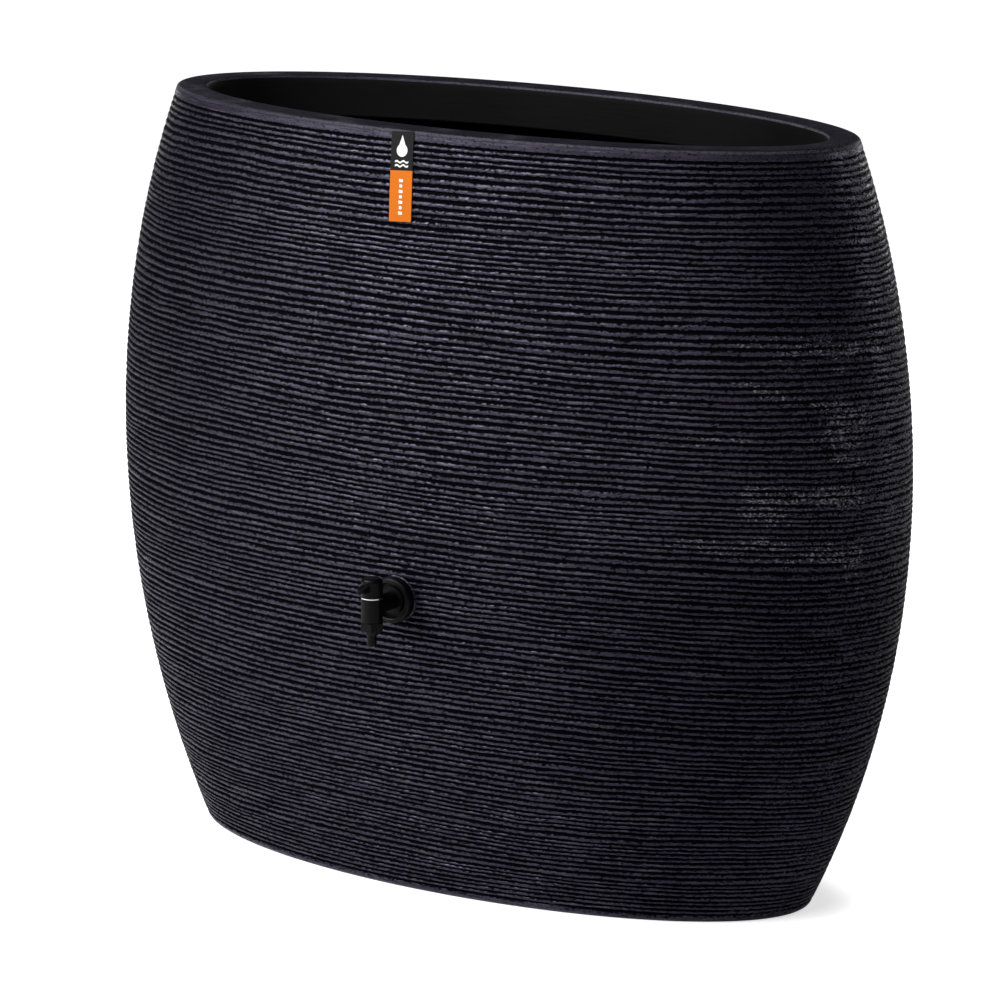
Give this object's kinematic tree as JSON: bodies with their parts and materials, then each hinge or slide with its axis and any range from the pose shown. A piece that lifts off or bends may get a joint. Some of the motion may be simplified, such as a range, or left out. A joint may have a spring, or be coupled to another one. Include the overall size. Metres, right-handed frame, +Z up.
{
  "type": "rain barrel",
  "caption": "Oval ribbed plastic rain barrel with a folded rim, an open mouth and a quarter-turn plug tap with a hose spigot low on its long side.",
  "frame": {"origin": "centre of the tank's oval underside, on the ground", "axes": "+Z up, X along the long side, -Y the front, where the tap stands out"},
  "size_m": [0.9398, 0.4814, 0.8],
  "materials": {
    "tank_plastic": "matt ribbed moulded polyethylene",
    "label_card": "printed satin card",
    "seal_rubber": "matt rubber",
    "tap_plastic": "satin moulded plastic",
    "slip_plastic": "satin nylon",
    "nut_plastic": "satin moulded plastic",
    "plug_plastic": "satin acetal",
    "bright_metal": "bright plated ring",
    "handle_plastic": "satin moulded plastic",
    "screw_steel": "plated steel",
    "tail_plastic": "satin moulded plastic"
  },
  "bodies": {
    "barrel": {"tank_shell": "tank_plastic", "label_tag": "label_card", "outer_washer": "seal_rubber", "cover_rose": "tap_plastic", "tap_body": "tap_plastic", "inner_washer": "seal_rubber", "slip_ring": "slip_plastic", "backnut": "nut_plastic", "gland_ring": "bright_metal", "tail_seal": "seal_rubber", "hose_tail": "tail_plastic"},
    "handle": {"valve_plug": "plug_plastic", "plug_ring_upper": "seal_rubber", "plug_ring_lower": "seal_rubber", "tap_handle": "handle_plastic", "handle_screw": "screw_steel", "screw_cap": "handle_plastic"}
  },
  "joints": [
    {"name": "handle_turn", "type": "hinge", "parent": "barrel", "child": "handle", "pos_m": [0, -0.24945, 0.34], "axis": [0, 0, 1], "range_deg": [0, 90]}
  ]
}
